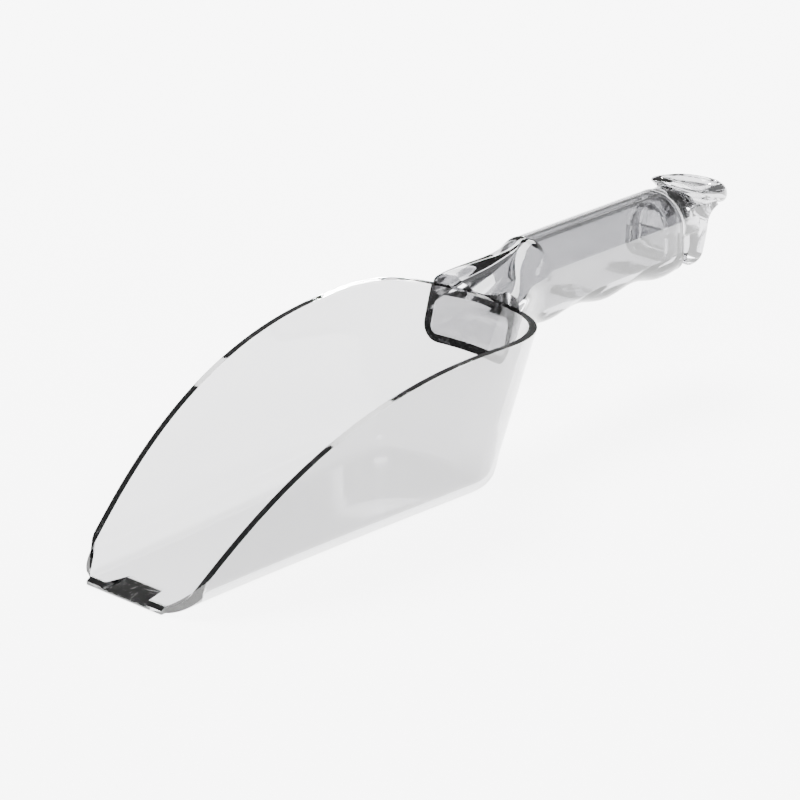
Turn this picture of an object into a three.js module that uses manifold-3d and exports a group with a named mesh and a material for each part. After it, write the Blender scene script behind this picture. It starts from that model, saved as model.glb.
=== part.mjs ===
// Ice scoop in clear plastic: a bowl, a hollow handle welded onto its back wall, and a plug-in end cap.
// Millimetres. X runs across the scoop, Y from the lip towards the hand stop, Z up from the flat base.
import * as THREE from "three";
import { mergeVertices } from "three/addons/utils/BufferGeometryUtils.js";
import Module from "manifold-3d";

// ---------------------------------------------------------------- driving dimensions
const LENGTH = 283.4; // lip to hand stop
const GAP = 0.3; // clearance between neighbouring pieces
const WALL = 2.3; // moulded wall of the bowl
const WELD = 0.04; // points closer than this are one

// Bowl. A station is a distance back from the lip.
const RIM_HEIGHT = 53.6;
const CORNER_RADIUS = 8.5; // floor into walls, outside
const SIDE_LEAN = THREE.MathUtils.degToRad(9.8);
const BACK_LEAN = THREE.MathUtils.degToRad(15.3);
const FLOOR_HALF_FRONT = 16.3; // half the flat floor's width at the lip
const FLOOR_HALF_GROWTH = 5.7; // how much wider that half is at the back
const FLOOR_FLARE = 1.6; // power of that growth along the floor
const FLOOR_END = 141.4; // station where the flat floor turns up into the back wall
const BACK_BULGE = 0.0066; // crown of the back wall in plan, per mm
const PLAN_RADIUS = 5; // back corners in plan, at the floor
const PLAN_RADIUS_GROWTH = 9; // most that radius grows up the wall
const CORNER_PULL = 1.2; // length of a back corner's turn, in radii
const BLOCK_START = -8; // station where the uncut bowl block begins
const MID_HEIGHTS = [24, 40]; // wall heights that carry a ring of points
const RIM_START = [-0.9, 0.8]; // station and height where the rim's curve begins, just ahead of the lip
const RIM_LEVEL_FROM = 123.4; // station where the rim becomes level
const RIM_FRONT_PULL = [11.2, 5.7]; // station and height that shape the rim's rise from the lip
const RIM_BACK_PULL = 46.5; // station that shapes how it levels off

// Lip
const LIP_THICKNESS = 0.6;
const LIP_HALF = 11.5; // half of the straight edge
const LIP_TURN_PULL = 17.5; // half-width that shapes the turn into the side
const LIP_TURN_HALF = 27; // half-width where the turn has left the wall
const LIP_TURN_DEPTH = 14; // and its station
const CHISEL_DEPTH = 10.1; // bevel on the lip's upper face
const CHISEL_HALF_FRONT = 9.7;
const CHISEL_HALF_BACK = 7.3;

// Handle root, with the thumb dish
const HANDLE_FRONT = 146; // hidden inside the back wall before the seat is cut
const ROOT_STATION = 158; // front edge of the thumb dish
const ROOT_HALF = 18.8; // half-width over the cheeks
const ROOT_DROP = 5; // how far the cheeks reach below the grip
const ROOT_DROP_LENGTH = 15; // stations over which that drop fades
const SHOULDER_RADIUS = 2; // top edges of the cheeks at the dish's front edge
const SHOULDER_HEIGHT = 55; // tops of the cheeks at the dish's front edge
const SHOULDER_SLOPE = 0.43; // their rise per mm
const DISH_END = 185; // station where the dish runs out into the crown
const DISH_HALF = 12; // half-width of the dish at its front edge
const DISH_FRONT_DEPTH = 3.2; // how far its front edge lies below the cheeks
const DISH_SAG = 1.2; // extra hollow halfway along

// Grip
const GRIP_HALF = 12; // half-round top, so this is its radius too
const GRIP_TOP = 66.6; // crown height where the grip begins
const GRIP_FALL = 0.018; // crown drops this much per mm towards the rear
const GRIP_BOTTOM = 40;
const GRIP_BOTTOM_FALL = 0.025; // underside drops this much per mm
const GRIP_BOTTOM_RADIUS = 6.5;
const SCALLOP_HEIGHT = 1;
const SCALLOP_PITCH = 29.5;
const SCALLOP_FIRST = 185.4; // station of the first low crest
const SCALLOP_START = 167; // station where the scallops begin to grow
const SCALLOP_FADE = 14; // stations they take to reach full height
const HANDLE_END = 251.3;
const HANDLE_WALL = 2.6;
const CAVITY_FLOOR = 43; // height of the cavity's underside
const CAVITY_FLOOR_RADIUS = 3;
const CAVITY_HALF_FRONT = 12.6; // half-width of the cavity inside the cheeks
const CAVITY_TOP_RADIUS_FRONT = 7;
const CAVITY_FLAT = 4; // half-width of its ceiling's middle strip
const CROWN_FLAT = 1; // the half-round top keeps this half-width flat
const MIN_STEP = 0.2; // least distance between outline points

// End cap
const COLLAR_LENGTH = 1.2;
const PLUG_LENGTH = 6;
const PLUG_WALL = 2;
const SLOT_WIDTH = 3.6; // between the collar and the hook
const SLOT_TOP = 50.7; // height of its closed end
const NECK_HALF = 11.4;
const NECK_DROP = 0.6; // neck's crown below the grip's
const NECK_REACH = 5; // how far the neck runs on above the hook
const CAP_OVERLAP = [0.5, 0.8]; // how far the neck and the plug reach into the collar
const HOOK_HALF = 11;
const HOOK_BOTTOM = 40;
const HOOK_LENGTH = 9.5;
const HOOK_NOSE = 1.2; // how far its nose closes the slot's mouth
const STOP_HALF = 11; // hand stop, half-width and end radius
const STOP_FRONT = 257;
const STOP_NOSE = 6; // length of its rounded front
const STOP_POINTS = 44; // points round its outline
// Hand stop, from underside to top and into its dish: inset, height at the rear, rise per mm forwards
const STOP_RINGS = [
  [5, 53.9, 0.36],
  [2, 54.3, 0.36],
  [0.6, 55.6, 0.36],
  [0, 57.8, 0.3],
  [0.3, 60, 0.24],
  [1.2, 61.3, 0.21],
  [2.6, 61.8, 0.21],
  [4.2, 61, 0.21],
  [6.5, 60.1, 0.21],
  [9, 59.9, 0.21],
];

// ---------------------------------------------------------------- solids and joins
const wasm = await Module();
wasm.setup();

// A closed three.js geometry as a manifold-3d solid.
function solidOf(geometry) {
  const bare = geometry.clone();
  bare.deleteAttribute("normal");
  bare.deleteAttribute("uv");
  const merged = mergeVertices(bare, 1e-4);
  const mesh = new wasm.Mesh({
    numProp: 3,
    vertProperties: new Float32Array(merged.attributes.position.array),
    triVerts: new Uint32Array(merged.index.array),
  });
  return new wasm.Manifold(mesh);
}

// The solid's triangles, with points closer than WELD joined and the slivers between them dropped.
function geometryOf(solid) {
  const mesh = solid.getMesh();
  const raw = new THREE.BufferGeometry();
  raw.setAttribute("position", new THREE.BufferAttribute(mesh.vertProperties, 3));
  raw.setIndex(new THREE.BufferAttribute(mesh.triVerts, 1));
  const geometry = mergeVertices(raw, WELD);
  const corners = geometry.index.array;
  const kept = [];
  for (let i = 0; i < corners.length; i += 3) {
    const [a, b, c] = corners.slice(i, i + 3);
    if (a !== b && b !== c && c !== a) kept.push(a, b, c);
  }
  geometry.setIndex(kept);
  return geometry;
}

// A skin over rings of equal point count, closed by a fan at each end. Rings run anticlockwise
// when seen from beyond the last one.
function loft(rings) {
  const count = rings[0].length;
  const points = rings.flat();
  const faces = [];
  for (let ring = 0; ring < rings.length - 1; ring++) {
    for (let i = 0; i < count; i++) {
      const a = ring * count + i;
      const b = ring * count + ((i + 1) % count);
      faces.push(a, b, b + count, a, b + count, a + count);
    }
  }
  for (const [ring, last] of [[0, false], [rings.length - 1, true]]) {
    const centre = rings[ring].reduce((sum, p) => sum.add(p), new THREE.Vector3());
    points.push(centre.divideScalar(count));
    const hub = points.length - 1;
    for (let i = 0; i < count; i++) {
      const a = ring * count + i;
      const b = ring * count + ((i + 1) % count);
      faces.push(...(last ? [hub, a, b] : [hub, b, a]));
    }
  }
  const geometry = new THREE.BufferGeometry().setFromPoints(points);
  geometry.setIndex(faces);
  return geometry;
}

// An outline in (station, height), extruded across the scoop to half-width on each side.
function acrossPrism(shape, half) {
  const geometry = new THREE.ExtrudeGeometry(shape, {
    depth: 2 * half,
    bevelEnabled: false,
    curveSegments: 12,
  });
  geometry.translate(0, 0, -half);
  // (station, height, across) becomes (across, station, height), a plain rotation
  geometry.applyMatrix4(new THREE.Matrix4().set(0, 0, 1, 0, 1, 0, 0, 0, 0, 1, 0, 0, 0, 0, 0, 1));
  return solidOf(geometry);
}

// ---------------------------------------------------------------- bowl
function floorHalf(station) {
  const along = Math.max(station, 0) / FLOOR_END;
  return FLOOR_HALF_FRONT + FLOOR_HALF_GROWTH * Math.pow(along, FLOOR_FLARE);
}

// How far a wall has moved out from the floor's edge at a height: an arc, then a leaning line.
function wallOut(height, lean, radius) {
  const tangent = CORNER_RADIUS - radius * Math.sin(lean);
  if (height < tangent) {
    const drop = CORNER_RADIUS - height;
    return Math.sqrt(Math.max(radius * radius - drop * drop, 0));
  }
  return radius * Math.cos(lean) + (height - tangent) * Math.tan(lean);
}

// The bowl's plan outline at a height, for the surface that lies inset mm inside the outer one.
function bowlRing(height, inset) {
  const radius = CORNER_RADIUS - inset;
  const side = wallOut(height, SIDE_LEAN, radius);
  const back = FLOOR_END + wallOut(height, BACK_LEAN, radius);
  const half = (station) => floorHalf(station) + side;
  const turn = CORNER_PULL * (PLAN_RADIUS + Math.min(side, PLAN_RADIUS_GROWTH));
  const wide = half(back - turn);
  const from = back - BACK_BULGE * wide * wide - turn;
  const to = wide - turn;
  const backAt = (x) => back - BACK_BULGE * x * x;
  const corner = new THREE.Vector2(wide, backAt(to) - 2 * BACK_BULGE * to * turn);
  const start = new THREE.Vector2(half(from), from);
  const bend = new THREE.QuadraticBezierCurve(start, corner, new THREE.Vector2(to, backAt(to)));
  const right = [];
  for (let i = 0; i < 14; i++) {
    const station = BLOCK_START + ((from - BLOCK_START) * i) / 14;
    right.push(new THREE.Vector2(half(station), station));
  }
  right.push(...bend.getPoints(7));
  for (let i = 1; i <= 4; i++) {
    const x = to * (1 - i / 4);
    right.push(new THREE.Vector2(x, backAt(x)));
  }
  const left = right.slice(0, -1).reverse().map((p) => new THREE.Vector2(-p.x, p.y));
  return [...right, ...left].map((p) => new THREE.Vector3(p.x, p.y, height));
}

function bowlBlock(inset, top) {
  const radius = CORNER_RADIUS - inset;
  const rings = [];
  const turned = Math.PI / 2 - SIDE_LEAN;
  for (let i = 0; i <= 8; i++) {
    rings.push(bowlRing(CORNER_RADIUS - radius * Math.cos((turned * i) / 8), inset));
  }
  for (const height of [...MID_HEIGHTS, top]) rings.push(bowlRing(height, inset));
  return solidOf(loft(rings));
}

// Everything above the rim: the lip rises in one sweep to the level rim at the back.
function aboveRim() {
  const side = new THREE.Shape();
  side.moveTo(-20, RIM_START[1]);
  side.lineTo(...RIM_START);
  side.bezierCurveTo(...RIM_FRONT_PULL, RIM_BACK_PULL, RIM_HEIGHT, RIM_LEVEL_FROM, RIM_HEIGHT);
  side.lineTo(200, RIM_HEIGHT);
  side.lineTo(200, 90);
  side.lineTo(-20, 90);
  return acrossPrism(side, 60);
}

// The chisel bevel on the lip, a wedge that narrows towards its back edge.
function chisel() {
  const corner = (half, station, height) => [
    new THREE.Vector3(half, station, height),
    new THREE.Vector3(half, station, height + 8),
    new THREE.Vector3(-half, station, height + 8),
    new THREE.Vector3(-half, station, height),
  ];
  const slope = (WALL - LIP_THICKNESS) / CHISEL_DEPTH;
  const ahead = 2;
  return solidOf(
    loft([
      corner(CHISEL_HALF_FRONT + 0.8, -ahead, LIP_THICKNESS - slope * ahead),
      corner(CHISEL_HALF_BACK, CHISEL_DEPTH, WALL),
    ]),
  );
}

// The front of the trough ends on a straight lip with rounded corners.
function aheadOfLip() {
  const plan = new THREE.Shape();
  plan.moveTo(-50, -20);
  plan.lineTo(50, -20);
  plan.lineTo(50, LIP_TURN_DEPTH);
  plan.lineTo(LIP_TURN_HALF, LIP_TURN_DEPTH);
  plan.quadraticCurveTo(LIP_TURN_PULL, 0, LIP_HALF, 0);
  plan.lineTo(-LIP_HALF, 0);
  plan.quadraticCurveTo(-LIP_TURN_PULL, 0, -LIP_TURN_HALF, LIP_TURN_DEPTH);
  plan.lineTo(-50, LIP_TURN_DEPTH);
  const geometry = new THREE.ExtrudeGeometry(plan, { depth: 80, bevelEnabled: false, curveSegments: 8 });
  return solidOf(geometry.translate(0, 0, -10));
}

function makeBowl() {
  return bowlBlock(0, 70)
    .subtract(aheadOfLip())
    .subtract(aboveRim())
    .subtract(bowlBlock(WALL, 80))
    .subtract(chisel());
}

// ---------------------------------------------------------------- handle
const smooth = (t) => THREE.MathUtils.smoothstep(t, 0, 1);
const behindDish = (station) => Math.max(station - DISH_END, 0);
const gripTop = (station) => GRIP_TOP - GRIP_FALL * behindDish(station);
const shoulderTop = (station) => SHOULDER_HEIGHT + SHOULDER_SLOPE * (station - ROOT_STATION);
const rooted = (station) => smooth((station - ROOT_STATION) / (DISH_END - 3 - ROOT_STATION));

// Height of the underside: the cheeks' lower edge, then the finger scallops.
function underside(station) {
  const turn = (2 * Math.PI * (station - SCALLOP_FIRST)) / SCALLOP_PITCH;
  const scallop = SCALLOP_HEIGHT * Math.cos(turn) * smooth((station - SCALLOP_START) / SCALLOP_FADE);
  const drop = ROOT_DROP * (1 - smooth((station - ROOT_STATION) / ROOT_DROP_LENGTH));
  return GRIP_BOTTOM - GRIP_BOTTOM_FALL * behindDish(station) - drop - scallop;
}

// One cross-section: flat underside with round corners, flat sides, and a top that changes from
// a flat ramp with square shoulders to a half-round. dip hollows its middle over dipHalf.
function sectionRing(station, s) {
  const right = [];
  for (let i = 0; i <= 4; i++) {
    const angle = (Math.PI / 2) * (i / 4);
    right.push([
      s.half - s.bottomRadius * (1 - Math.sin(angle)),
      s.bottom + s.bottomRadius * (1 - Math.cos(angle)),
    ]);
  }
  for (let i = 0; i <= 6; i++) {
    const angle = (Math.PI / 2) * (i / 6);
    right.push([
      s.half - s.topRadius * (1 - Math.cos(angle)),
      s.top - s.topRadius * (1 - Math.sin(angle)),
    ]);
  }
  const shoulder = s.half - s.topRadius;
  const inner = Math.min(s.dipHalf, shoulder - MIN_STEP);
  for (let i = 0; i <= 4; i++) {
    const x = inner * (1 - i / 4);
    right.push([x, s.top - s.dip * (1 - (x / inner) ** 2)]);
  }
  const left = right.slice(0, -1).reverse().map(([x, z]) => [-x, z]);
  return [...left.reverse(), ...right.reverse()]
    .map(([x, z]) => new THREE.Vector3(x, station, z));
}

function outerSection(station) {
  const grown = rooted(station);
  const along = THREE.MathUtils.clamp((station - ROOT_STATION) / (DISH_END - ROOT_STATION), 0, 1);
  return {
    half: THREE.MathUtils.lerp(ROOT_HALF, GRIP_HALF, grown),
    bottom: underside(station),
    bottomRadius: GRIP_BOTTOM_RADIUS,
    top: Math.min(shoulderTop(station), gripTop(station)),
    topRadius: THREE.MathUtils.lerp(SHOULDER_RADIUS, GRIP_HALF - CROWN_FLAT, grown),
    dip: DISH_FRONT_DEPTH * (1 - along) + DISH_SAG * Math.sin(Math.PI * along),
    dipHalf: DISH_HALF * (1 - 0.5 * along),
  };
}

function innerSection(station) {
  const grown = rooted(station);
  const outer = outerSection(station);
  return {
    half: THREE.MathUtils.lerp(CAVITY_HALF_FRONT, GRIP_HALF - HANDLE_WALL, grown),
    bottom: CAVITY_FLOOR,
    bottomRadius: CAVITY_FLOOR_RADIUS,
    top: outer.top - outer.dip - HANDLE_WALL,
    topRadius: THREE.MathUtils.lerp(CAVITY_TOP_RADIUS_FRONT, GRIP_HALF - HANDLE_WALL - CROWN_FLAT, grown),
    dip: 0,
    dipHalf: CAVITY_FLAT,
  };
}

function stationsFrom(start, end, step) {
  const count = Math.round((end - start) / step);
  return Array.from({ length: count + 1 }, (_, i) => start + ((end - start) * i) / count);
}

function makeHandle() {
  const outer = stationsFrom(HANDLE_FRONT, HANDLE_END, 4)
    .map((station) => sectionRing(station, outerSection(station)));
  const inner = stationsFrom(HANDLE_FRONT - 4, HANDLE_END + 2, 6)
    .map((station) => sectionRing(station, innerSection(station)));
  const seat = bowlBlock(-GAP, 90);
  return solidOf(loft(outer)).subtract(solidOf(loft(inner))).subtract(seat);
}

// ---------------------------------------------------------------- end cap
function stopRing([inset, height, rise]) {
  const half = STOP_HALF - inset;
  const front = STOP_FRONT + inset;
  const centre = LENGTH - STOP_HALF;
  const plan = new THREE.Shape();
  plan.moveTo(half, front + STOP_NOSE);
  plan.lineTo(half, centre);
  plan.absarc(0, centre, half, 0, Math.PI, false);
  plan.lineTo(-half, front + STOP_NOSE);
  plan.bezierCurveTo(-half, front, half, front, half, front + STOP_NOSE);
  return plan.getSpacedPoints(STOP_POINTS).slice(0, -1)
    .map((p) => new THREE.Vector3(p.x, p.y, height + rise * (LENGTH - p.y)));
}

// The hanging hook: a finger that drops behind the slot, with a nose that narrows the slot's mouth.
function hookOutline(front) {
  const back = front + HOOK_LENGTH;
  const finger = new THREE.Shape();
  finger.moveTo(front, SLOT_TOP + 10);
  finger.lineTo(front, HOOK_BOTTOM + 7);
  finger.quadraticCurveTo(front - HOOK_NOSE, HOOK_BOTTOM + 4, front - HOOK_NOSE, HOOK_BOTTOM + 1.5);
  finger.quadraticCurveTo(front - 1, HOOK_BOTTOM, front + 1.5, HOOK_BOTTOM);
  finger.quadraticCurveTo(back - 3, HOOK_BOTTOM, back - 2, HOOK_BOTTOM + 3);
  finger.quadraticCurveTo(back, SLOT_TOP - 2, back + 0.8, SLOT_TOP + 3.5);
  finger.quadraticCurveTo(back + 2, SLOT_TOP + 6.5, back + 6, SLOT_TOP + 7.5);
  finger.lineTo(back + 5, SLOT_TOP + 9);
  return finger;
}

function makeEndCap() {
  const start = HANDLE_END + GAP;
  const collarEnd = start + COLLAR_LENGTH;
  const hookFront = collarEnd + SLOT_WIDTH;
  const flush = outerSection(HANDLE_END);
  const blockFrom = (from, to, section) =>
    solidOf(loft([from, to].map((station) => sectionRing(station, section))));
  const neck = {
    ...flush,
    half: NECK_HALF,
    topRadius: NECK_HALF - CROWN_FLAT,
    top: flush.top - NECK_DROP,
    bottom: SLOT_TOP,
  };
  const cavity = innerSection(HANDLE_END);
  const plugSection = (inset) => ({
    ...cavity,
    half: cavity.half - inset,
    bottom: cavity.bottom + inset,
    top: cavity.top - inset,
    topRadius: cavity.topRadius - inset,
    dipHalf: 1,
  });
  const plugEnd = start - PLUG_LENGTH;
  return blockFrom(start, collarEnd, flush)
    .add(blockFrom(start + CAP_OVERLAP[0], hookFront + NECK_REACH, neck))
    .add(blockFrom(plugEnd, start + CAP_OVERLAP[1], plugSection(GAP)))
    .add(acrossPrism(hookOutline(hookFront), HOOK_HALF))
    .add(solidOf(loft(STOP_RINGS.map(stopRing))))
    .subtract(blockFrom(plugEnd - 1, start, plugSection(GAP + PLUG_WALL)));
}

// ---------------------------------------------------------------- the scoop
function clearPlastic(colour) {
  return new THREE.MeshStandardMaterial({
    color: colour,
    roughness: 0.08,
    metalness: 0,
    transparent: true,
    opacity: 0.35,
  });
}

const scoop = new THREE.Group();
const pieces = [
  ["bowl", makeBowl, 0xdcdbdc],
  ["handle", makeHandle, 0xd2d2d4],
  ["end_cap", makeEndCap, 0xcfcfd1],
];
for (const [name, make, colour] of pieces) {
  const mesh = new THREE.Mesh(geometryOf(make()), clearPlastic(colour));
  mesh.name = name;
  mesh.position.y = -LENGTH / 2;
  scoop.add(mesh);
}

export default scoop;
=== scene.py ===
# %% [markdown]
# # Clear ice scoop
# A scoop for ice, as used behind a bar: one trough-shaped bowl with a sloping rim, a hollow grip on its
# back wall, and a cap plugged into the grip's open end. All three are injection-moulded polycarbonate,
# so the whole object is transparent with a faint grey cast. The frame below holds the measured solids;
# each piece is built again here with finer curves and real wall thickness, because clear plastic shows
# both of its surfaces at once.
# %% Frame
import math

import bmesh
import bpy
import numpy as np
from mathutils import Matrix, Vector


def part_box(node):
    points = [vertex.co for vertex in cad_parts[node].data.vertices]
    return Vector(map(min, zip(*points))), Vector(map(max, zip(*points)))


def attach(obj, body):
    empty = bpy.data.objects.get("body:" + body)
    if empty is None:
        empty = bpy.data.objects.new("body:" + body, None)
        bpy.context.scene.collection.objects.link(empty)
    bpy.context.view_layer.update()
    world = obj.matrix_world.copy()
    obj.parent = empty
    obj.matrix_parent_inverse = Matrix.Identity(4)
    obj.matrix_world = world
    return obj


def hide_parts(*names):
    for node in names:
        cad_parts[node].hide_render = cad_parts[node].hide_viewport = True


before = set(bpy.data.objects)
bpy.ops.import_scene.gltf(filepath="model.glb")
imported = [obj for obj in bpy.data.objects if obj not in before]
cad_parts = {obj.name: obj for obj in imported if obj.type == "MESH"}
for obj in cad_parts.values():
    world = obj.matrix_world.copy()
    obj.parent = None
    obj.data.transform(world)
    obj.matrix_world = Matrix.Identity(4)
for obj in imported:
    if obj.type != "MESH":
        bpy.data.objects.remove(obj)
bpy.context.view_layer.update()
scene = bpy.context.scene

# %% [markdown]
# ## Building in stations
# A mould drawing gives heights and widths at stations, distances back from the lip in millimetres.
# The same is done here, and a helper turns a list of points into a mesh in metres in the shared frame.
# Points that coincide are joined, so each piece is one closed skin.
# %% From stations to metres
MM = 0.001
lip_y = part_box("bowl")[0].y


def smooth(t):
    t = np.clip(t, 0, 1)
    return t * t * (3 - 2 * t)


def lerp(a, b, t):
    return a + (b - a) * t


def mesh_piece(name, points, faces, **point_values):
    """A mesh object from (across, station, height) points; extra arrays become point attributes."""
    place = np.array(points, float) * MM
    place[:, 1] += lip_y
    mesh = bpy.data.meshes.new(name)
    mesh.from_pydata(place.tolist(), [], faces)
    for key, values in point_values.items():
        mesh.attributes.new(key, "FLOAT", "POINT").data.foreach_set("value", np.asarray(values, np.float32))
    piece = bpy.data.objects.new(name, mesh)
    scene.collection.objects.link(piece)
    return piece


def clean(piece, distance=0.004):
    """Joins coincident points, drops faces without area and turns every face outwards."""
    work = bmesh.new()
    work.from_mesh(piece.data)
    bmesh.ops.remove_doubles(work, verts=work.verts, dist=distance * MM)
    bmesh.ops.dissolve_degenerate(work, edges=work.edges, dist=distance * MM)
    bmesh.ops.recalc_face_normals(work, faces=work.faces)
    if work.calc_volume(signed=True) < 0:
        bmesh.ops.reverse_faces(work, faces=work.faces)
    open_edges = sum(1 for e in work.edges if len(e.link_faces) != 2)
    counts = len(work.faces), open_edges, work.calc_volume() * 1e6
    work.to_mesh(piece.data)
    work.free()
    print("%s: %d faces, %d open edges, %.1f cm3 of plastic" % (piece.name, *counts))
    return piece


def grid_faces(rows, columns, start=0, wrap=False):
    """Quads between the rows of a grid of points; wrap joins the last column to the first."""
    faces = []
    for r in range(rows - 1):
        for c in range(columns if wrap else columns - 1):
            d = (c + 1) % columns
            a, b = start + r * columns + c, start + r * columns + d
            faces.append((a, b, b + columns, a + columns))
    return faces


# %% [markdown]
# ## The bowl's shape
# The bowl is a trough on a flat floor. Each wall leaves the floor in a rounded corner and then leans out,
# which is also the draft that lets the moulding come off its core. Two skins follow the same rule, the
# inner one a wall's thickness inside. `plan_point` gives a point of either skin: it runs along the side,
# round the back corner and along the slightly crowned back wall as `run` goes from 0 to 3.
# %% Bowl dimensions and skins
WALL = 2.3
CORNER = 8.5  # outside radius between floor and walls
SIDE_LEAN, BACK_LEAN = math.radians(9.8), math.radians(15.3)
FLOOR_HALF_FRONT, FLOOR_HALF_GROWTH, FLOOR_END = 16.3, 5.7, 141.4
FLOOR_FLARE = 1.6  # power of the floor's growth in width
BULGE = 0.0066  # crown of the back wall in plan, per mm
PLAN_RADIUS, PLAN_RADIUS_GROWTH = 5, 9  # back corners in plan, at the floor and added up the wall
CORNER_PULL = 1.2  # length of a back corner's turn, in radii


def floor_half(station):
    return FLOOR_HALF_FRONT + FLOOR_HALF_GROWTH * (np.maximum(station, 0) / FLOOR_END) ** FLOOR_FLARE


def wall_out(height, lean, radius):
    """How far a wall has moved out from the floor's edge at a height."""
    tangent = CORNER - radius * math.sin(lean)
    arc = np.sqrt(np.maximum(radius**2 - (CORNER - height) ** 2, 0))
    line = radius * math.cos(lean) + (height - tangent) * math.tan(lean)
    return np.where(height < tangent, arc, line)


def plan_point(run, height, inset):
    """Across and station of the skin that lies inset mm inside the outer one."""
    radius = CORNER - inset
    side = wall_out(height, SIDE_LEAN, radius)
    back = FLOOR_END + wall_out(height, BACK_LEAN, radius)
    turn = CORNER_PULL * (PLAN_RADIUS + np.minimum(side, PLAN_RADIUS_GROWTH))
    wide = floor_half(back - turn) + side
    start = back - BULGE * wide**2 - turn
    end = wide - turn
    end_station = back - BULGE * end**2
    if run <= 1:
        return floor_half(start * run) + side, start * run
    if run >= 2:
        across = end * (3 - run)
        return across, back - BULGE * across**2
    t = run - 1
    corner_station = end_station - 2 * BULGE * end * turn
    across = (1 - t) ** 2 * (floor_half(start) + side) + 2 * t * (1 - t) * wide + t * t * end
    station = (1 - t) ** 2 * start + 2 * t * (1 - t) * corner_station + t * t * end_station
    return across, station


# %% [markdown]
# The rim rises from the lip in one sweep and levels off before the back. A straight lip meets the ice;
# it turns into the sides in a soft curve. Both are curves given by a few pulls, turned into tables here.
# %% Rim and lip curves
RIM_HEIGHT = 53.6
RIM_PULLS = np.array([[-0.9, 0.8], [11.2, 5.7], [46.5, RIM_HEIGHT], [123.4, RIM_HEIGHT]])  # station, height
LIP_HALF = 11.5  # half of the straight edge
LIP_TURN_PULL, LIP_TURN_HALF, LIP_TURN_DEPTH = 17.5, 27, 14  # half-widths of the turn, and its depth

t = np.linspace(0, 1, 600)
weights = np.stack([(1 - t) ** 3, 3 * t * (1 - t) ** 2, 3 * t * t * (1 - t), t**3])
rim_station, rim_height = RIM_PULLS.T @ weights


def rim_at(station):
    return np.interp(station, rim_station, rim_height)


def lip_reach(station):
    """Half-width that the lip's turned edge leaves at a station."""
    u = math.sqrt(max(station, 0) / LIP_TURN_DEPTH)
    if u >= 1:
        return 1e3
    return LIP_HALF * (1 - u) ** 2 + 2 * LIP_TURN_PULL * u * (1 - u) + LIP_TURN_HALF * u * u


# %% [markdown]
# ## One closed skin for the bowl
# The skin is a set of profiles, one for each run along the outline. A profile starts on the floor's
# centre line, crosses the floor, climbs the wall to the rim, crosses the rim's flat top, and comes back
# down the inside. Near the lip the floor carries a chisel bevel, so that the lip slides under the ice.
# %% Climbing a wall
FLOOR_COLUMNS, WALL_COLUMNS = 10, 58
CHISEL_DEPTH, LIP_THICKNESS = 10.1, 0.6
CHISEL_FRONT, CHISEL_BACK = 9.7, 7.3  # half-widths of the bevel
shares = np.linspace(0, 1, WALL_COLUMNS)


def chisel_half(station):
    return lerp(CHISEL_FRONT, CHISEL_BACK, min(max(station, 0) / CHISEL_DEPTH, 1))


def climb_to(height, inset):
    """Length of wall between the floor's edge and a height."""
    radius = CORNER - inset
    turned = math.pi / 2 - SIDE_LEAN
    tangent = CORNER - radius * math.sin(SIDE_LEAN)
    if height < tangent:
        return radius * math.acos(min(max((CORNER - height) / radius, -1), 1))
    return radius * turned + (height - tangent) / math.cos(SIDE_LEAN)


def height_of(climb, inset):
    """Height after a length of climb, the way back from climb_to."""
    radius = CORNER - inset
    arc = radius * (math.pi / 2 - SIDE_LEAN)
    tangent = CORNER - radius * math.sin(SIDE_LEAN)
    return np.where(
        climb < arc, CORNER - radius * np.cos(np.minimum(climb, arc) / radius),
        tangent + (climb - arc) * math.cos(SIDE_LEAN))


def wall_top(run, inset):
    """Height where a skin meets the rim or the lip's turned edge."""
    height = 10.0
    for _ in range(30):
        across, station = plan_point(run, np.array(height), inset)
        height = float(lerp(height, rim_at(float(station)), 0.7))
        reach = lip_reach(float(station)) - float(floor_half(station))
        radius = CORNER - inset
        if inset == 0 and reach < radius * math.cos(SIDE_LEAN):
            height = min(height, CORNER - math.sqrt(radius**2 - max(reach, 0) ** 2))
    return height


# %% [markdown]
# The wall's points are spaced evenly along the climb, not in height, so that the rounded corner gets as
# many as it needs. The floor's points crowd together at the bevel's side, where the surface steps down.
# %% Bowl profiles
CORNER_RUN = 0.12  # past this run the lip no longer cuts the wall


def wall_skin(run, inset):
    """Across, station and height of one skin, from the floor's edge up to the rim."""
    top = wall_top(run, inset)
    heights = height_of(climb_to(top, inset) * shares, inset)
    heights[-1] = top if top > inset else heights[-1]
    across, station = plan_point(run, heights, inset)
    if inset == 0 and run == 0:
        across = np.full_like(across, LIP_HALF)
    elif inset == 0:
        across = np.minimum(across, max(lip_reach(float(station[-1])), across[0]))
    return across, station, heights


def floor_columns(edge, chisel):
    """Half-widths of the floor's points, from the centre line to the wall."""
    if edge <= chisel + 1:
        return np.linspace(0, edge, FLOOR_COLUMNS)
    bevel = [0, chisel * 0.5, chisel * 0.97, chisel, chisel + 0.15]
    return [*bevel, *np.linspace(chisel + 0.5, edge, FLOOR_COLUMNS - len(bevel))]


def rim_middle(run, outer, inner):
    """The point between the two skins on the rim's flat top."""
    if run > CORNER_RUN:
        return tuple(lerp(np.array(outer), np.array(inner), 0.5))
    cut = float(rim_at(outer[1]))
    wide = float(plan_point(run, np.array(cut), 0)[0])
    return min(wide, max(lip_reach(float(outer[1])), outer[0])), float(outer[1]), cut


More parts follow.
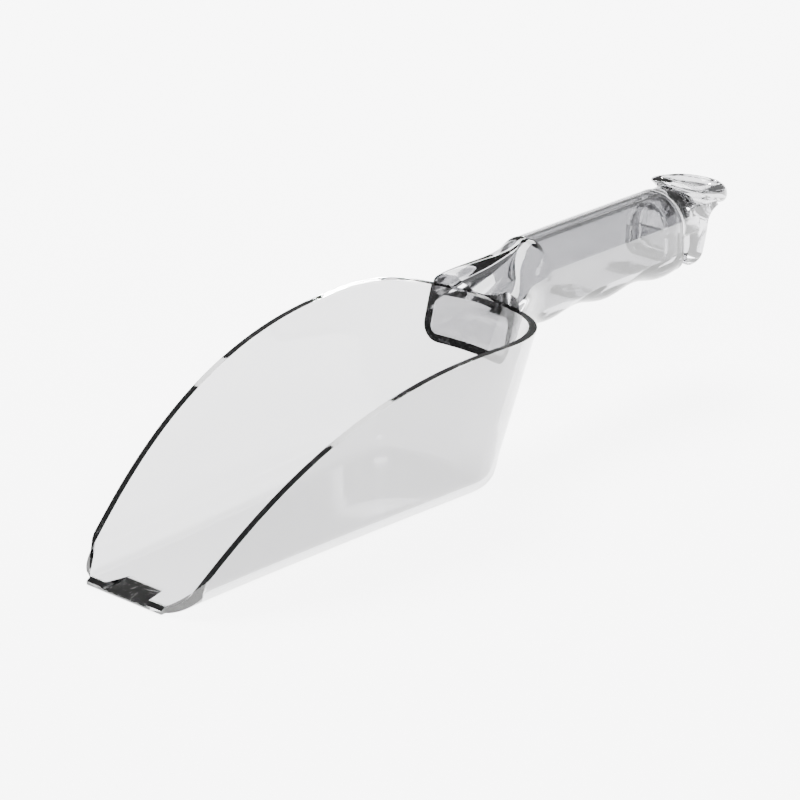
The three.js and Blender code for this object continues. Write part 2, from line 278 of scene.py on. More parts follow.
def bowl_profile(run):
    outer_x, outer_s, outer_z = wall_skin(run, 0)
    inner_x, inner_s, inner_z = wall_skin(run, WALL)
    floor_level = min(WALL, float(rim_at(outer_s[0])))
    inner_z = np.maximum(inner_z, floor_level) if floor_level == WALL else np.full_like(inner_z, floor_level)
    chisel = chisel_half(float(outer_s[0]))
    bevel_share = float(np.clip(outer_s[0] / CHISEL_DEPTH, 0, 1))
    chisel_level = min(floor_level, lerp(LIP_THICKNESS, WALL, bevel_share))
    columns = floor_columns(min(float(outer_x[0]), float(inner_x[0])), chisel)[:-1]
    outer_floor = [(x, outer_s[0], 0.0) for x in columns]
    inner_floor = [(x, inner_s[0], chisel_level if x <= chisel else floor_level) for x in columns]
    outer = list(zip(outer_x, outer_s, outer_z))
    inner = list(zip(inner_x, inner_s, inner_z))
    middle = rim_middle(run, outer[-1], inner[-1])
    return outer_floor + outer + [middle] + inner[::-1] + inner_floor[::-1]


# %% [markdown]
# The profiles stand closest together at the lip, where the plan turns quickly. The right half is mirrored
# to give the left one, and strips between the outer and inner lines close the front end.
# %% Bowl skin
FRONT_RUN = 0.13
front_runs = np.linspace(0, 1, 22) ** 2 * FRONT_RUN
side_runs = np.linspace(FRONT_RUN, 1, 62)[1:]
corner_runs, back_runs = np.linspace(1, 2, 26)[1:], np.linspace(2, 3, 13)[1:]
runs = [*front_runs, *side_runs, *corner_runs, *back_runs]
profiles = [bowl_profile(float(r)) for r in runs]
per_profile = len(profiles[0])
right = np.array(profiles).reshape(-1, 3)
left = right * [-1, 1, 1]
faces = grid_faces(len(runs), per_profile)
other = [tuple(i + len(right) for i in reversed(f)) for f in faces]
front_strips = []
for first in (0, len(right)):
    ring = range(first, first + per_profile)
    for i in range(per_profile // 2):
        corners = (ring[i], ring[i + 1], ring[per_profile - 2 - i], ring[per_profile - 1 - i])
        if len(set(corners)) == 4:
            front_strips.append(corners if first else tuple(reversed(corners)))
        elif len(set(corners)) == 3:
            front_strips.append(tuple(dict.fromkeys(corners)))
bowl = clean(mesh_piece("bowl_moulding", np.vstack([right, left]), faces + other + front_strips))

# %% [markdown]
# ## The handle's sections
# A handle like this is a tube with flat sides, a half-round crown and a soft underside. Towards the bowl
# it widens into two cheeks, with a dished ramp between them for the thumb. One function gives the
# section at a station; the outside and the cored inside differ only in their numbers.
# %% Handle sections
GRIP_HALF, GRIP_TOP, GRIP_FALL = 12, 66.6, 0.018
GRIP_BOTTOM, BOTTOM_FALL, BOTTOM_RADIUS = 40, 0.025, 6.5
ROOT_STATION, ROOT_HALF, ROOT_DROP = 158, 18.8, 5
SHOULDER_HEIGHT, SHOULDER_SLOPE = 55, 0.43
DISH_END, DISH_HALF, DISH_FRONT_DEPTH, DISH_SAG = 185, 12, 3.2, 1.2
SHOULDER_RADIUS, CROWN_FLAT = 2, 1  # top edges of the cheeks, and half-width of the crown's flat
DROP_LENGTH, MIN_STEP = 15, 0.2
HANDLE_END, HANDLE_WALL = 251.3, 2.6
CAVITY_FLOOR, CAVITY_RADIUS, CAVITY_FLAT = 43, 3, 4


def section_ring(half, bottom, bottom_radius, top, top_radius, dip, dip_half):
    """Across, height and share of underside, from the underside's middle round to the crown and back."""
    right = [(x, bottom, 1.0) for x in np.linspace(0, half - bottom_radius, 7)[:-1]]
    for a in np.linspace(0, math.pi / 2, 12):
        inwards, upwards = bottom_radius * (1 - math.sin(a)), bottom_radius * (1 - math.cos(a))
        right.append((half - inwards, bottom + upwards, 1.0))
    low, high = bottom + bottom_radius, top - top_radius
    right += [(half, lerp(low, high, k), 1 - k) for k in np.linspace(0, 1, 8)[1:-1]]
    for a in np.linspace(0, math.pi / 2, 20):
        right.append((half - top_radius * (1 - math.cos(a)), top - top_radius * (1 - math.sin(a)), 0.0))
    inner = min(dip_half, half - top_radius - MIN_STEP)
    right += [(inner * (1 - k), top - dip * (1 - (1 - k) ** 2), 0.0) for k in np.linspace(0, 1, 12)]
    return right + [(-x, z, w) for x, z, w in right[-2:0:-1]]


def grown(station):
    """How far the handle has changed from its root to the plain grip, 0 to 1."""
    return float(smooth((station - ROOT_STATION) / (DISH_END - 3 - ROOT_STATION)))


def outer_ring(station):
    along = float(np.clip((station - ROOT_STATION) / (DISH_END - ROOT_STATION), 0, 1))
    behind = max(station - DISH_END, 0)
    drop = ROOT_DROP * (1 - float(smooth((station - ROOT_STATION) / DROP_LENGTH)))
    return section_ring(
        half=lerp(ROOT_HALF, GRIP_HALF, grown(station)),
        bottom=GRIP_BOTTOM - BOTTOM_FALL * behind - drop,
        bottom_radius=BOTTOM_RADIUS,
        top=min(SHOULDER_HEIGHT + SHOULDER_SLOPE * (station - ROOT_STATION), GRIP_TOP - GRIP_FALL * behind),
        top_radius=lerp(SHOULDER_RADIUS, GRIP_HALF - CROWN_FLAT, grown(station)),
        dip=DISH_FRONT_DEPTH * (1 - along) + DISH_SAG * math.sin(math.pi * along),
        dip_half=DISH_HALF * (1 - 0.5 * along),
    )


def inner_ring(station):
    outside = outer_ring(station)
    low = min(z for x, z, w in outside)
    crown = max(z for x, z, w in outside if abs(x) < MIN_STEP / 2)
    return section_ring(
        half=lerp(ROOT_HALF, GRIP_HALF, grown(station)) - HANDLE_WALL,
        bottom=lerp(low + HANDLE_WALL, CAVITY_FLOOR, grown(station)),
        bottom_radius=CAVITY_RADIUS,
        top=crown - HANDLE_WALL,
        top_radius=lerp(CAVITY_RADIUS, GRIP_HALF - HANDLE_WALL - CROWN_FLAT, grown(station)),
        dip=0,
        dip_half=CAVITY_FLAT,
    )


# %% [markdown]
# The handle sits against the bowl's back wall. Each line of its skin therefore starts exactly where it
# meets that wall, and runs back to the open end that takes the cap.
# %% Handle skin
SEAM = 0.12  # clearance to the bowl and to the cap
RAMP_END = 186  # rows are closer together behind this station
table_stations = np.arange(150, HANDLE_END + 0.01, 0.5)
row_shares = np.concatenate([np.linspace(0, 1, 26)[:-1], np.linspace(1, 2, 70)])


def wall_station(across, height):
    return FLOOR_END + wall_out(height, BACK_LEAN, CORNER) - BULGE * across**2 + SEAM


def line_start(line):
    """Station where a line of the table meets the bowl's wall, found by closing in on it."""
    start = float(ROOT_STATION)
    for _ in range(40):
        across, height = (np.interp(start, table_stations, line[:, axis]) for axis in (0, 1))
        start = lerp(start, float(wall_station(across, height)), 0.8)
    return start


def skin_lines(ring):
    """Points of a skin by row and line: rows run from the bowl's wall to the open end."""
    table = np.array([ring(s) for s in table_stations])
    lines = []
    for line in table.transpose(1, 0, 2):
        ramp = lerp(line_start(line), RAMP_END, row_shares)
        stations = np.where(row_shares < 1, ramp, lerp(RAMP_END, HANDLE_END, row_shares - 1))
        across, height, share = (np.interp(stations, table_stations, line[:, axis]) for axis in range(3))
        lines.append(np.stack([across, stations, height, share], axis=1))
    return np.array(lines).transpose(1, 0, 2)


def tube_piece(name, outside, inside):
    """A closed tube from an outer and an inner skin, with both ends open into the bore."""
    rows, around = outside.shape[:2]
    points = np.vstack([outside.reshape(-1, 4), inside.reshape(-1, 4)])
    second = rows * around
    faces = grid_faces(rows, around, wrap=True)
    faces += [tuple(reversed(f)) for f in grid_faces(rows, around, start=second, wrap=True)]
    for row in (0, rows - 1):
        for c in range(around):
            a, b = row * around + c, row * around + (c + 1) % around
            quad = (a, b, second + b, second + a)
            faces.append(quad if row else tuple(reversed(quad)))
    underside = points[:, 3] * (np.arange(len(points)) < second)
    return mesh_piece(name, points[:, :3], faces, underside=underside)


handle = tube_piece("handle_moulding", skin_lines(outer_ring), skin_lines(inner_ring))

# %% [markdown]
# ## Finger scallops
# The underside has shallow waves that settle the fingers. They repeat at a fixed pitch, so they are made
# by a rule in Geometry Nodes: every point that belongs to the underside drops by a cosine of its place
# along the grip. Changing the pitch or the height is then one number.
# %% Scallop rule
SCALLOP_HEIGHT, SCALLOP_PITCH, SCALLOP_FIRST = 1.0, 29.5, 185.4
SCALLOP_START, SCALLOP_FADE = 167, 14  # they begin to grow here and take this long
RULE_SIZES = {
    "Height": SCALLOP_HEIGHT * MM,
    "Pitch": SCALLOP_PITCH * MM,
    "First crest": lip_y + SCALLOP_FIRST * MM,
    "Lead": (SCALLOP_FIRST - SCALLOP_START) * MM,
    "Fade length": SCALLOP_FADE * MM,
}


def scallop_tree():
    tree = bpy.data.node_groups.new("finger_scallops", "GeometryNodeTree")
    face = tree.interface
    face.new_socket("Geometry", in_out="INPUT", socket_type="NodeSocketGeometry")
    for label, value in RULE_SIZES.items():
        face.new_socket(label, in_out="INPUT", socket_type="NodeSocketFloat").default_value = value
    face.new_socket("Plastic", in_out="INPUT", socket_type="NodeSocketMaterial")
    face.new_socket("Geometry", in_out="OUTPUT", socket_type="NodeSocketGeometry")
    nodes, links = tree.nodes, tree.links
    given, result = nodes.new("NodeGroupInput"), nodes.new("NodeGroupOutput")

    def calc(operation, *values):
        node = nodes.new("ShaderNodeMath")
        node.operation = operation
        for socket, value in zip(node.inputs, values):
            if hasattr(value, "links"):
                links.new(value, socket)
            else:
                socket.default_value = value
        return node.outputs[0]

    place = nodes.new("GeometryNodeInputPosition")
    split = nodes.new("ShaderNodeSeparateXYZ")
    links.new(place.outputs[0], split.inputs[0])
    past = calc("SUBTRACT", split.outputs["Y"], given.outputs["First crest"])
    wave = calc("COSINE", calc("MULTIPLY", calc("DIVIDE", past, given.outputs["Pitch"]), 2 * math.pi))
    before = calc("ADD", past, given.outputs["Lead"])
    fade = nodes.new("ShaderNodeMapRange")
    fade.interpolation_type = "SMOOTHSTEP"
    links.new(before, fade.inputs["Value"])
    links.new(given.outputs["Fade length"], fade.inputs["From Max"])
    weight = nodes.new("GeometryNodeInputNamedAttribute")
    weight.data_type = "FLOAT"
    weight.inputs["Name"].default_value = "underside"
    depth = calc("MULTIPLY", wave, given.outputs["Height"])
    share = calc("MULTIPLY", fade.outputs["Result"], weight.outputs["Attribute"])
    drop = calc("MULTIPLY", depth, share)
    shift = nodes.new("ShaderNodeCombineXYZ")
    links.new(calc("MULTIPLY", drop, -1.0), shift.inputs["Z"])
    move = nodes.new("GeometryNodeSetPosition")
    links.new(given.outputs["Geometry"], move.inputs["Geometry"])
    links.new(shift.outputs[0], move.inputs["Offset"])
    real = nodes.new("GeometryNodeRealizeInstances")
    links.new(move.outputs[0], real.inputs[0])
    paint = nodes.new("GeometryNodeSetMaterial")
    links.new(real.outputs[0], paint.inputs["Geometry"])
    links.new(given.outputs["Plastic"], paint.inputs["Material"])
    links.new(paint.outputs[0], result.inputs[0])
    return tree


def apply_rule(piece, tree, **values):
    """Runs a geometry rule on a piece and keeps its result as the piece's own mesh."""
    rule = piece.modifiers.new(tree.name, "NODES")
    rule.node_group = tree
    for item in tree.interface.items_tree:
        if item.item_type == "SOCKET" and item.in_out == "INPUT" and item.name in values:
            rule[item.identifier] = values[item.name]
    made = bpy.data.meshes.new_from_object(piece.evaluated_get(bpy.context.evaluated_depsgraph_get()))
    piece.modifiers.clear()
    piece.data = made
    return piece


# %% [markdown]
# ## The end cap
# The cap does three jobs. Its hollow plug closes the bore, its short neck carries a finger that hangs the
# scoop on a bin's edge, and the sloping pad on top stops the hand. It is made of three plain bodies that
# are then joined into one skin. The first is the stem. Its sections reuse the grip's own section, so the
# collar sits flush with the grip.
# %% Cap sections
COLLAR_LENGTH, PLUG_LENGTH, PLUG_WALL = 1.2, 6, 2
SLOT_WIDTH, SLOT_TOP = 3.6, 50.7
NECK_HALF, NECK_DROP, NECK_RADIUS, NECK_REACH = 11.4, 0.6, 1.5, 5
cap_start = HANDLE_END + SEAM
collar_end = cap_start + COLLAR_LENGTH
plug_end = cap_start - PLUG_LENGTH
hook_front = collar_end + SLOT_WIDTH
grip_run = HANDLE_END - DISH_END
last_scallop = SCALLOP_HEIGHT * math.cos(2 * math.pi * (HANDLE_END - SCALLOP_FIRST) / SCALLOP_PITCH)
crown_end = GRIP_TOP - GRIP_FALL * grip_run
bottom_end = GRIP_BOTTOM - BOTTOM_FALL * grip_run - last_scallop


def collar_ring(shrink=0.0):
    return section_ring(
        half=GRIP_HALF - shrink,
        bottom=bottom_end + shrink,
        bottom_radius=BOTTOM_RADIUS - shrink,
        top=crown_end - shrink,
        top_radius=GRIP_HALF - CROWN_FLAT - shrink,
        dip=0,
        dip_half=5,
    )


def bore_ring(inset):
    half = GRIP_HALF - HANDLE_WALL - inset
    return section_ring(
        half=half,
        bottom=CAVITY_FLOOR + inset,
        bottom_radius=CAVITY_RADIUS - inset * 0.8,
        top=crown_end - HANDLE_WALL - inset,
        top_radius=half - CROWN_FLAT,
        dip=0,
        dip_half=CAVITY_FLAT,
    )


def neck_ring():
    return section_ring(
        half=NECK_HALF,
        bottom=SLOT_TOP,
        bottom_radius=NECK_RADIUS,
        top=crown_end - NECK_DROP,
        top_radius=NECK_HALF - CROWN_FLAT,
        dip=0,
        dip_half=5,
    )


# %% [markdown]
# The stem's skin starts on the bottom of the plug's hollow, comes out over the plug's lip and along its
# outside, steps out to the collar and in again to the neck. Tiny steps at the corners round them off.
# %% Stem
def stack_piece(name, rows):
    """A closed skin over rows of (across, station, height) points, each row a ring of equal length."""
    around = len(rows[0])
    last = (len(rows) - 1) * around
    faces = grid_faces(len(rows), around, wrap=True)
    faces += [tuple(reversed(range(around))), tuple(range(last, last + around))]
    return mesh_piece(name, [point for row in rows for point in row], faces)


stem_rings = [
    (bore_ring(SEAM + PLUG_WALL), cap_start),
    (bore_ring(SEAM + PLUG_WALL), plug_end),
    (bore_ring(SEAM + 0.3), plug_end),
    (bore_ring(SEAM), plug_end + 0.5),
    (bore_ring(SEAM), cap_start),
    (collar_ring(0.15), cap_start),
    (collar_ring(), cap_start + 0.2),
    (collar_ring(), collar_end - 0.25),
    (collar_ring(0.25), collar_end),
    (neck_ring(), collar_end),
    (neck_ring(), hook_front + NECK_REACH),
]
stem = stack_piece("stem", [[(x, station, z) for x, z, w in ring] for ring, station in stem_rings])

# %% [markdown]
# The finger is a flat outline with softened sides, almost as wide as the neck. Its nose narrows the
# slot's mouth, so that the scoop clips onto an edge.
# %% Finger
HOOK_HALF, HOOK_BOTTOM, HOOK_LENGTH, HOOK_NOSE = 11, 40, 9.5, 1.2
SIDE_STEPS = ((0, 0.97), (0.12, 0.99), (0.45, 1))  # distance from the side, and the outline's scale there


def quadratic(a, b, c, count=9):
    """Points of a curve from a to c that is pulled towards b, without its first point."""
    weights = [((1 - u) ** 2, 2 * u * (1 - u), u * u) for u in np.linspace(0, 1, count)[1:]]
    return [tuple(i * p + j * q + k * r for p, q, r in zip(a, b, c)) for i, j, k in weights]


def hook_outline(front):
    back, low, top = front + HOOK_LENGTH, HOOK_BOTTOM, SLOT_TOP
    line = [(front, top + 10), (front, top + 4), (front, top - 0.5), (front, low + 7)]
    line += quadratic(line[-1], (front - HOOK_NOSE, low + 4), (front - HOOK_NOSE, low + 1.5))
    line += quadratic(line[-1], (front - 1, low), (front + 1.5, low))
    line += quadratic(line[-1], (back - 3, low), (back - 2, low + 3))
    line += quadratic(line[-1], (back, top - 2), (back + 0.8, top + 3.5))
    line += quadratic(line[-1], (back + 2, top + 6.5), (back + 6, top + 7.5))
    return line + [(back + 5, top + 9)]


outline = np.array(hook_outline(hook_front))
centre = outline.mean(axis=0)
finger_sides = [(step - HOOK_HALF, scale) for step, scale in SIDE_STEPS]
finger_sides += [(HOOK_HALF - step, scale) for step, scale in reversed(SIDE_STEPS)]
finger_rows = []
for across, scale in finger_sides:
    finger_rows.append([(across, *(centre + (point - centre) * scale)) for point in outline])
finger = stack_piece("finger", finger_rows)

# %% [markdown]
# The pad is a stack of oval outlines that swells from its underside, rolls over its rim and sinks into a
# shallow dish. A few outlines give the profile, and a smooth curve through them gives the rest.
# %% Hand stop
LENGTH, STOP_HALF, STOP_FRONT, STOP_NOSE = 283.4, 11, 257, 6
# inset, height at the rear, rise per mm forwards
STOP_PROFILE = np.array([
    [5, 53.9, 0.36],
    [2, 54.3, 0.36],
    [0.6, 55.6, 0.36],
    [0, 57.8, 0.3],
    [0.3, 60, 0.24],
    [1.2, 61.3, 0.21],
    [2.6, 61.8, 0.21],
    [4.2, 61, 0.21],
    [6.5, 60.1, 0.21],
    [9, 59.9, 0.21],
])


def stop_ring(inset, height, rise):
    half, middle = STOP_HALF - inset, LENGTH - STOP_HALF
    front = STOP_FRONT + inset
    side = [lerp(front + STOP_NOSE, middle, k) for k in np.linspace(0, 1, 6)]
    points = [(half, station) for station in side[:-1]]
    points += [(half * math.cos(a), middle + half * math.sin(a)) for a in np.linspace(0, math.pi, 33)]
    points += [(-half, station) for station in reversed(side[:-1])]
    for u in np.linspace(0, 1, 16)[1:-1]:
        v = 1 - u
        across = half * (u**3 - v**3 + 3 * u * v * (u - v))
        points.append((across, front + STOP_NOSE * (u**3 + v**3)))
    return [(x, station, height + rise * (LENGTH - station)) for x, station in points]


def fine_profile(rows, steps=5):
    """A smooth curve through the rows, so that the pad's rim is a soft roll."""
    padded = np.vstack([2 * rows[0] - rows[1], rows, 2 * rows[-1] - rows[-2]])
    fine = []
    for before, a, b, after in zip(padded, padded[1:], padded[2:], padded[3:]):
        for u in np.arange(steps) / steps:
            square = (2 * before - 5 * a + 4 * b - after) * u**2
            cube = (3 * a - before - 3 * b + after) * u**3
            fine.append(0.5 * (2 * a + (b - before) * u + square + cube))
    return [*fine, rows[-1]]


pad = stack_piece("pad", [stop_ring(*row) for row in fine_profile(STOP_PROFILE)])


# %% [markdown]
# Three overlapping bodies would show walls inside each other in clear plastic. An exact union leaves one
# skin, as the mould does.
# %% Join the cap
def join_solids(name, first, others):
    """Unites closed bodies into one skin and keeps only the result."""
    for other in others:
        union = first.modifiers.new("join", "BOOLEAN")
        union.operation, union.solver, union.object = "UNION", "EXACT", other
    bpy.context.view_layer.update()
    mesh = bpy.data.meshes.new_from_object(first.evaluated_get(bpy.context.evaluated_depsgraph_get()))
    for used in (first, *others):
        bpy.data.objects.remove(used)
    mesh.name = name
    piece = bpy.data.objects.new(name, mesh)
    scene.collection.objects.link(piece)
    return piece


for body in (stem, finger, pad):
    clean(body)
end_cap = clean(join_solids("end_cap_moulding", stem, [finger, pad]))


# %% [markdown]
# ## What happens to clear plastic
# New polycarbonate is glossy and almost colourless. Use leaves four marks, and each is a small shader
# group shared by the materials: a cloudy haze from washing, fine scratches that run with the strokes,
# pale rubbed edges, and a little dust on faces that look up. The groups give masks and heights only.
# First come short names for adding and linking nodes.
# %% Node helpers
class Tree:
    """Adds nodes to a node tree. A value that is a socket is linked, and any other is set."""

    def __init__(self, tree):
        self.tree = tree
        self.link = tree.links.new

    def add(self, kind, values=(), **settings):
        node = self.tree.nodes.new(kind)
        for key, value in settings.items():
            setattr(node, key, value)
        for key, value in dict(values).items():
            if isinstance(value, bpy.types.NodeSocket):
                self.link(value, node.inputs[key])
            else:
                node.inputs[key].default_value = value
        return node

    def math(self, operation, a, b=0.0, clamp=False):
        return self.add("ShaderNodeMath", {0: a, 1: b}, operation=operation, use_clamp=clamp).outputs[0]

    def ramp(self, value, low, high):
        limits = {"Value": value, "From Min": low, "From Max": high}
        return self.add("ShaderNodeMapRange", limits, interpolation_type="SMOOTHSTEP").outputs["Result"]

    def blend(self, mask, a, b):
        return self.add("ShaderNodeMix", {0: mask, 6: a, 7: b}, data_type="RGBA").outputs[2]


def wear_group(name, inputs, outputs):
    """A new shader group, as (tree, input sockets, output sockets). Its first input is a Vector."""
    group = bpy.data.node_groups.new(name, "ShaderNodeTree")
    group.interface.new_socket("Vector", in_out="INPUT", socket_type="NodeSocketVector")
    for label, value in inputs.items():
        socket = group.interface.new_socket(label, in_out="INPUT", socket_type="NodeSocketFloat")
        socket.default_value = value
    for label in outputs:
        group.interface.new_socket(label, in_out="OUTPUT", socket_type="NodeSocketFloat")
    given = group.nodes.new("NodeGroupInput").outputs
    return Tree(group), given, group.nodes.new("NodeGroupOutput").inputs


# %% [markdown]
# Haze is a soft cloud. A higher cover lowers the level above which the cloud shows.
# %% Washing haze
haze, given, result = wear_group("washing_haze", {"Scale": 30.0, "Cover": 0.5}, ["Mask"])
shape = {"Detail": 5.0, "Roughness": 0.6, "Distortion": 0.4}
cloud = haze.add("ShaderNodeTexNoise", {"Vector": given["Vector"], "Scale": given["Scale"], **shape})
level = haze.math("SUBTRACT", 0.75, haze.math("MULTIPLY", given["Cover"], 0.5))
haze.link(haze.ramp(cloud.outputs[0], level, haze.math("ADD", level, 0.25)), result["Mask"])

# %% [markdown]
# A scratch is a noise stretched along its own direction, with only its peaks kept. Three directions
# cross each other, as strokes do.
# %% Fine scratches
STROKE_TURNS = (0.0, 0.9, -0.7)  # radians from the main direction
sizes = {"Scale": 60.0, "Stretch": 14.0, "Turn": 0.4}
scratch, given, result = wear_group("fine_scratches", sizes, ["Mask", "Height"])
stretch = scratch.add("ShaderNodeCombineXYZ", {"X": given["Stretch"], "Y": 1.0, "Z": given["Stretch"]})
strokes = []
for k, extra in enumerate(STROKE_TURNS):
    angle = scratch.math("ADD", given["Turn"], extra)
    about = {"Vector": given["Vector"], "Angle": angle}
    turned = scratch.add("ShaderNodeVectorRotate", about, rotation_type="Z_AXIS").outputs[0]
    long = scratch.add("ShaderNodeVectorMath", {0: turned, 1: stretch.outputs[0]}, operation="MULTIPLY")
    look = {"Vector": long.outputs[0], "Scale": given["Scale"], "Detail": 2.0, "Roughness": 0.5}
    grain = scratch.add("ShaderNodeTexNoise", look)
    strokes.append(scratch.ramp(grain.outputs[0], 0.66 + 0.01 * k, 0.74))
both = scratch.math("MAXIMUM", strokes[0], strokes[1])
every = scratch.math("MAXIMUM", both, strokes[2])
scratch.link(every, result["Mask"])
scratch.link(scratch.math("MULTIPLY", every, -1.0), result["Height"])

# %% [markdown]
# Rubbed edges follow an attribute that marks sharp edges, broken up by a fine noise. Dust is a scatter
# of small round spots, kept only where the surface faces upwards.
# %% Rubbed edges and dust
rubbed, given, result = wear_group("rubbed_edges", {"Edge": 0.0, "Scale": 140.0}, ["Mask"])
look = {"Vector": given["Vector"], "Scale": given["Scale"], "Detail": 4.0, "Roughness": 0.7}
breaks = rubbed.add("ShaderNodeTexNoise", look)
patches = rubbed.ramp(breaks.outputs[0], 0.4, 0.65)
rubbed.link(rubbed.math("MULTIPLY", given["Edge"], patches), result["Mask"])

dust, given, result = wear_group("resting_dust", {"Scale": 700.0, "Amount": 0.3}, ["Mask"])
look = {"Vector": given["Vector"], "Scale": given["Scale"], "Randomness": 1.0}
motes = dust.add("ShaderNodeTexVoronoi", look)
facing = dust.add("ShaderNodeSeparateXYZ", {0: dust.add("ShaderNodeNewGeometry").outputs["Normal"]})
round_spots = dust.math("SUBTRACT", 1.0, dust.ramp(motes.outputs["Distance"], 0.08, 0.2))
upwards = dust.ramp(facing.outputs["Z"], 0.5, 0.95)
resting = dust.math("MULTIPLY", round_spots, upwards)
dust.link(dust.math("MULTIPLY", resting, given["Amount"]), result["Mask"])
print("wear groups:", sorted(group.name for group in bpy.data.node_groups))


# %% [markdown]
# ## Three clear materials
# One recipe makes all three, with different numbers. The plastic carries a grey tint in its colour, and
# a faint absorption in its body darkens the longest ways through it. Haze and scratches roughen the
# gloss, and a very low bump gives the uneven flow lines that a moulding has.
# %% Clear plastic
IOR = 1.586
GLOSS = 0.015  # roughness of clean plastic
PALE_MARK = (0.97, 0.97, 0.96, 1)
BODY_COLOUR = (0.80, 0.80, 0.81, 1)


def place_group(tree, label, **values):
    return tree.add("ShaderNodeGroup", values, node_tree=bpy.data.node_groups[label]).outputs


def plastic_colour(tree, tint, hazy, worn, dusty):
    cloudy = [channel * 0.94 for channel in tint]
    colour = tree.blend(tree.math("MULTIPLY", hazy, 0.5), (*tint, 1), (*cloudy, 1))
    marks = tree.math("MAXIMUM", tree.math("MULTIPLY", worn, 0.6), tree.math("MULTIPLY", dusty, 0.5))
    return tree.blend(marks, colour, PALE_MARK)


def flow_normal(tree, where, scratch_height):
    flow = tree.add("ShaderNodeTexNoise", {"Vector": where, "Scale": 22.0, "Detail": 1.0})
    height = tree.math("ADD", flow.outputs[0], tree.math("MULTIPLY", scratch_height, 0.02))
    return tree.add("ShaderNodeBump", {"Strength": 0.25, "Distance": 0.0004, "Height": height}).outputs[0]


def clear_plastic(name, tint, haze_cover, haze_roughness, scratch_scale, scratch_roughness, density):
    material = bpy.data.materials.new(name)
    material.use_nodes = True
    tree = Tree(material.node_tree)
    shader = material.node_tree.nodes["Principled BSDF"]
    output = material.node_tree.nodes["Material Output"]
    where = tree.add("ShaderNodeTexCoord").outputs["Object"]
    edge = tree.add("ShaderNodeAttribute", attribute_name="edge").outputs["Fac"]
    hazy = place_group(tree, "washing_haze", Vector=where, Scale=34.0, Cover=haze_cover)["Mask"]
    scored = place_group(tree, "fine_scratches", Vector=where, Scale=scratch_scale)
    worn = place_group(tree, "rubbed_edges", Vector=where, Edge=edge)["Mask"]
    dusty = place_group(tree, "resting_dust", Vector=where, Amount=0.5)["Mask"]
    rough = tree.math("ADD", GLOSS, tree.math("MULTIPLY", hazy, haze_roughness))
    rough = tree.math("ADD", rough, tree.math("MULTIPLY", scored["Mask"], scratch_roughness))
    matt = tree.math("MULTIPLY", tree.math("MAXIMUM", worn, dusty), 0.22)
    tree.link(tree.math("ADD", rough, matt, clamp=True), shader.inputs["Roughness"])
    tree.link(plastic_colour(tree, tint, hazy, worn, dusty), shader.inputs["Base Color"])
    tree.link(flow_normal(tree, where, scored["Height"]), shader.inputs["Normal"])
    shader.inputs["Transmission Weight"].default_value = 1.0
    shader.inputs["IOR"].default_value = IOR
    shader.inputs["Metallic"].default_value = 0.0
    body = tree.add("ShaderNodeVolumeAbsorption", {"Color": BODY_COLOUR, "Density": density})
    tree.link(body.outputs[0], output.inputs["Volume"])
    return material


# %% [markdown]
# The bowl is scuffed by ice, so its scratches are the broadest. The handle is hazier, because hands rub
# it, and has the deepest grey. The cap lies between the two.
# %% The three plastics
bowl_plastic = clear_plastic(
    "bowl_plastic",
    tint=(0.45, 0.45, 0.455),
    haze_cover=0.45,
    haze_roughness=0.03,
    scratch_scale=55.0,
    scratch_roughness=0.05,
    density=60.0,
)
handle_plastic = clear_plastic(
    "handle_plastic",
    tint=(0.36, 0.36, 0.37),
    haze_cover=0.6,
    haze_roughness=0.05,
    scratch_scale=80.0,
    scratch_roughness=0.04,
    density=90.0,
)
cap_plastic = clear_plastic(
    "cap_plastic",
    tint=(0.42, 0.42, 0.43),
    haze_cover=0.5,
    haze_roughness=0.04,
    scratch_scale=90.0,
    scratch_roughness=0.04,
    density=60.0,
)

# %% [markdown]
# The handle takes its scallops now that its material exists. Every piece is then shaded smooth except at
# its sharp edges, and those edges are marked for the rubbed look.
# %% Finish the three pieces
SHARP_ANGLE = math.radians(32)
apply_rule(handle, scallop_tree(), **RULE_SIZES, Plastic=handle_plastic)
clean(handle)


def finish_skin(piece, material):
    work = bmesh.new()
    work.from_mesh(piece.data)
    sharp = [e for e in work.edges if len(e.link_faces) == 2 and e.calc_face_angle(0) > SHARP_ANGLE]
    mark = work.verts.layers.float.new("edge")
    for edge in sharp:
        edge.smooth = False
        for corner in edge.verts:
            corner[mark] = 1.0
    for face in work.faces:
        face.smooth = True
    work.to_mesh(piece.data)
    work.free()
    piece.data.materials.clear()
    piece.data.materials.append(material)
    print("%s: %d sharp edges" % (piece.name, len(sharp)))


plastics = {"bowl": bowl_plastic, "handle": handle_plastic, "end_cap": cap_plastic}
for piece, node in ((bowl, "bowl"), (handle, "handle"), (end_cap, "end_cap")):
    finish_skin(piece, plastics[node])
    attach(piece, "root")
    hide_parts(node)

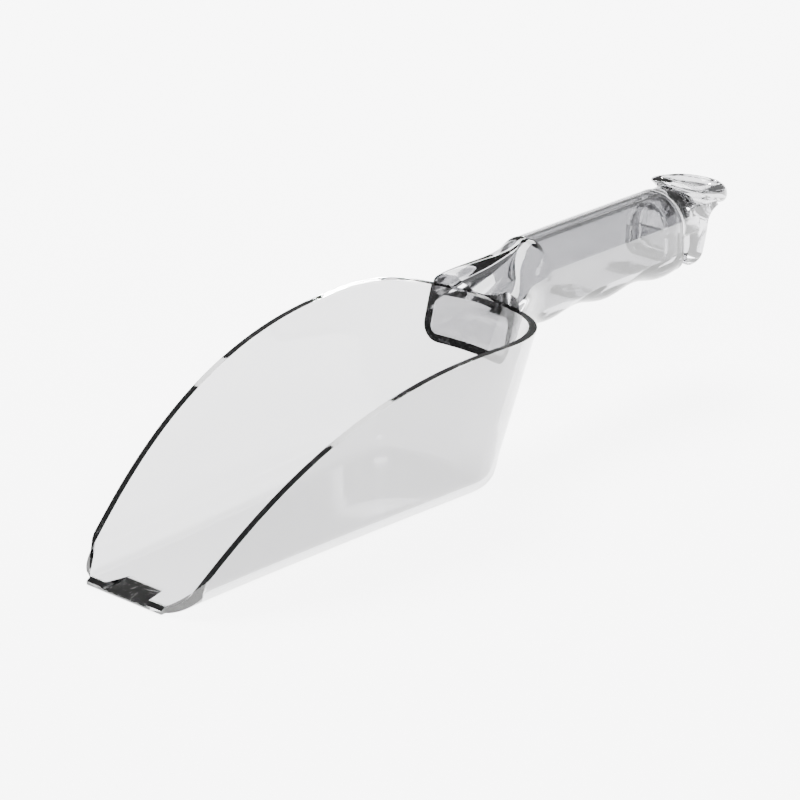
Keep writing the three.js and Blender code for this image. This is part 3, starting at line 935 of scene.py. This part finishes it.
# %% [markdown]
# ## Set and light
# The scoop rests on a pale, evenly lit floor, like a product on a light table. Clear plastic shows what
# lies behind it, so the bright floor fills its walls, and the dimmer room around it draws the dark lines
# along its edges. A large soft lamp and two small ones give the highlights.
# %% Floor
REACH = 3.0
FLOOR_DROP = 0.0002  # keeps the floor clear of the scoop's flat base
FLOOR_GLOW = 6.0
floor_mesh = bpy.data.meshes.new("floor")
floor_corners = [(-REACH, -REACH, 0), (REACH, -REACH, 0), (REACH, REACH, 0), (-REACH, REACH, 0)]
floor_mesh.from_pydata(floor_corners, [], [(0, 1, 2, 3)])
floor = bpy.data.objects.new("floor", floor_mesh)
floor.location.z = -FLOOR_DROP
scene.collection.objects.link(floor)
pale = bpy.data.materials.new("pale_floor")
pale.use_nodes = True
skin = pale.node_tree.nodes["Principled BSDF"]
skin.inputs["Base Color"].default_value = (0.9, 0.9, 0.9, 1)
skin.inputs["Roughness"].default_value = 0.9
skin.inputs["Emission Color"].default_value = (1, 1, 1, 1)
skin.inputs["Emission Strength"].default_value = FLOOR_GLOW
floor.data.materials.append(pale)
print("floor: %.0f m square" % (2 * REACH))


# %% [markdown]
# The lamps stand around the scoop and look at it. The smallest one lies where the bowl's floor mirrors it
# towards the camera.
# %% Room and lamps
def soft_lamp(name, place, aim, size, power):
    lamp = bpy.data.lights.new(name, "AREA")
    lamp.size, lamp.energy = size, power
    thing = bpy.data.objects.new(name, lamp)
    thing.location = place
    x, y, z = np.array(aim, float) - np.array(place, float)
    thing.rotation_euler = (math.atan2(math.hypot(x, y), -z), 0, math.atan2(y, x) - math.pi / 2)
    scene.collection.objects.link(thing)


world = bpy.data.worlds.new("room")
world.use_nodes = True
room = world.node_tree.nodes["Background"]
room.inputs["Color"].default_value = (0.5, 0.5, 0.5, 1)
room.inputs["Strength"].default_value = 0.9
scene.world = world
soft_lamp("key", place=(-0.9, 0.6, 1.6), aim=(0, 0, 0.03), size=0.9, power=60)
soft_lamp("fill", place=(1.1, -0.2, 1.2), aim=(0, 0, 0.03), size=0.5, power=20)
soft_lamp("window", place=(-0.92, 0.95, 0.58), aim=(0, 0, 0.01), size=0.05, power=3)
print("lamps:", sorted(lamp.name for lamp in bpy.data.lights))

# %% [markdown]
# The camera stands high at the front right with a long lens, so the scoop shows its opening, its near
# side and the whole grip, with hardly any perspective.
# %% Camera
camera_data = bpy.data.cameras.new("camera")
camera = bpy.data.objects.new("camera", camera_data)
camera_data.sensor_width, camera_data.lens = 36, 202.5
camera_data.clip_start, camera_data.clip_end = 0.05, 20
camera.location = (0.9024, -0.9989, 0.5775)
camera.rotation_euler = (math.radians(67.6), 0, math.radians(42.6))
scene.collection.objects.link(camera)
bpy.context.scene.camera = camera
print("camera: %.1f mm lens, %.2f m from the scoop" % (camera_data.lens, camera.location.length))
